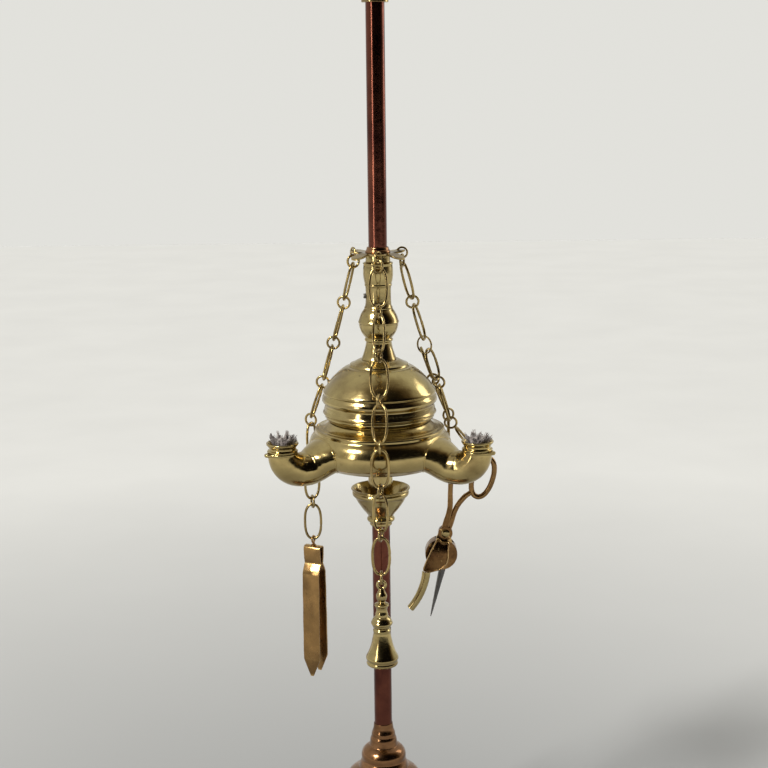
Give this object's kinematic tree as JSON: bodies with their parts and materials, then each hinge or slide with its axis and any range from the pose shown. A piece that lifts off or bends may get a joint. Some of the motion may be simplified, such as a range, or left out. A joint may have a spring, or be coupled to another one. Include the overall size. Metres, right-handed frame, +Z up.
{
  "type": "three-spout table oil lamp",
  "caption": "Brass table oil lamp: a lidded font with spouts on a tall footed rod, a carrying ring on top, and a snuffer, tweezers and a wick trimmer on chains.",
  "frame": {"origin": "centre of the foot's underside", "axes": "+Z up the rod; -Y is the front, the side of the snuffer's chain; the other chains hang at +X+Y and -X+Y"},
  "size_m": [0.1475, 0.1497, 0.6424],
  "materials": {
    "cast_brass": "polished, lightly tarnished",
    "turned_brass": "polished turned brass",
    "chain_brass": "tarnished wire",
    "bronze": "brown patina, worn",
    "copper_rod": "dark lacquered copper tube",
    "copper_foot": "brown lacquered copper alloy",
    "steel": "dull dark steel",
    "iron": "rough",
    "felt": "baize",
    "cotton": "frayed cotton wick"
  },
  "bodies": {
    "stand": {"foot_shell": "copper_foot", "foot_weight": "iron", "base_washer": "steel", "base_nut": "steel", "felt_pad": "felt", "pedestal": "copper_foot", "rod": "copper_rod", "finial": "turned_brass", "ring_handle": "turned_brass"},
    "cup": {"drip_cup": "turned_brass"},
    "font": {"reservoir_body": "cast_brass", "font_tube": "cast_brass", "spout_right": "cast_brass", "spout_left": "cast_brass", "spout_back": "cast_brass", "wick_cup_right": "cast_brass", "wick_cup_left": "cast_brass", "wick_cup_back": "cast_brass"},
    "wick_r": {"wick_right": "cotton"},
    "wick_l": {"wick_left": "cotton"},
    "wick_b": {"wick_back": "cotton"},
    "lid": {"lid_dome": "turned_brass", "neck_baluster": "turned_brass", "set_screw": "steel", "crown_plate": "chain_brass", "crown_rings": "chain_brass", "crown_ferrule": "copper_rod"},
    "front_upper": {"front_chain_upper": "chain_brass"},
    "front_lower": {"front_chain_lower": "chain_brass"},
    "snuffer": {"snuffer_bell": "turned_brass"},
    "left_upper": {"left_chain_upper": "chain_brass"},
    "left_lower": {"left_chain_lower": "chain_brass"},
    "tweezers": {"tweezers_eye": "chain_brass", "tweezers_head": "bronze"},
    "leaf_front": {"tweezers_leaf_front": "bronze"},
    "leaf_back": {"tweezers_leaf_back": "bronze"},
    "right_upper": {"right_chain_upper": "chain_brass", "split_ring": "chain_brass"},
    "right_lower": {"right_chain_lower": "chain_brass"},
    "trimmer_left": {"trimmer_arm_left": "bronze", "trimmer_cover": "bronze", "trimmer_gouge": "turned_brass", "trimmer_rivet": "turned_brass"},
    "trimmer_right": {"trimmer_arm_right": "bronze", "trimmer_box": "bronze", "trimmer_spike": "steel", "trimmer_tail_chain": "chain_brass"}
  },
  "joints": [
    {"name": "cup_slide", "type": "slide", "parent": "stand", "child": "cup", "axis": [0, 0, 1], "range_m": [-0.06, 0.06]},
    {"name": "font_turn", "type": "hinge", "parent": "cup", "child": "font", "pos_m": [0, 0, 0.291], "axis": [0, 0, 1], "continuous": true},
    {"name": "lid_lift", "type": "slide", "parent": "font", "child": "lid", "axis": [0, 0, 1], "range_m": [0, 0.055]},
    {"name": "wick_right_feed", "type": "slide", "parent": "font", "child": "wick_r", "axis": [0, 0, 1], "range_m": [0, 0.008]},
    {"name": "wick_left_feed", "type": "slide", "parent": "font", "child": "wick_l", "axis": [0, 0, 1], "range_m": [0, 0.008]},
    {"name": "wick_back_feed", "type": "slide", "parent": "font", "child": "wick_b", "axis": [0, 0, 1], "range_m": [0, 0.008]},
    {"name": "front_chain_lift", "type": "hinge", "parent": "lid", "child": "front_upper", "pos_m": [0, -0.0166, 0.41535], "axis": [-1, 0, 0], "range_deg": [0, 35]},
    {"name": "front_chain_swing", "type": "hinge", "parent": "front_upper", "child": "front_lower", "pos_m": [0, -0.04832, 0.31336], "axis": [-1, 0, 0], "range_deg": [-5, 40]},
    {"name": "left_chain_lift", "type": "hinge", "parent": "lid", "child": "left_upper", "pos_m": [-0.01466, 0.00779, 0.41535], "axis": [0.4695, 0.8829, 0], "range_deg": [0, 35]},
    {"name": "left_chain_swing", "type": "hinge", "parent": "left_upper", "child": "left_lower", "pos_m": [-0.04266, 0.02268, 0.31336], "axis": [0.4695, 0.8829, 0], "range_deg": [-5, 40]},
    {"name": "snuffer_swing", "type": "hinge", "parent": "front_lower", "child": "snuffer", "pos_m": [0, -0.04832, 0.23111], "axis": [0, 1, 0], "range_deg": [-35, 35]},
    {"name": "tweezers_swing", "type": "hinge", "parent": "left_lower", "child": "tweezers", "pos_m": [-0.04266, 0.02268, 0.23683], "axis": [1, 0, 0], "range_deg": [-30, 30]},
    {"name": "tweezers_squeeze", "type": "hinge", "parent": "tweezers", "child": "leaf_front", "pos_m": [-0.04326, 0.02142, 0.2204], "axis": [0.9063, -0.4226, 0], "range_deg": [0, 3.2], "stiffness_Nm_per_rad": 0.5},
    {"name": "tweezers_squeeze_back", "type": "hinge", "parent": "tweezers", "child": "leaf_back", "pos_m": [-0.04207, 0.02395, 0.2204], "axis": [0.9063, -0.4226, 0], "range_deg": [-3.2, 0], "stiffness_Nm_per_rad": 0.5},
    {"name": "right_chain_lift", "type": "hinge", "parent": "lid", "child": "right_upper", "pos_m": [0.01438, 0.0083, 0.41535], "axis": [0.5, -0.866, 0], "range_deg": [0, 35]},
    {"name": "right_chain_swing", "type": "hinge", "parent": "right_upper", "child": "right_lower", "pos_m": [0.0428, 0.03187, 0.3136], "axis": [0.5, -0.866, 0], "range_deg": [0, 35]},
    {"name": "trimmer_swing", "type": "hinge", "parent": "right_lower", "child": "trimmer_left", "pos_m": [0.0428, 0.03187, 0.28947], "axis": [0, 1, 0], "range_deg": [0, 25]},
    {"name": "trimmer_open", "type": "hinge", "parent": "trimmer_left", "child": "trimmer_right", "pos_m": [0.0407, 0.03307, 0.23646], "axis": [0, 1, 0], "range_deg": [0, 16]}
  ],
  "couplings": [
    {"joint": "tweezers_squeeze_back", "follows": "tweezers_squeeze", "ratio": -1}
  ]
}
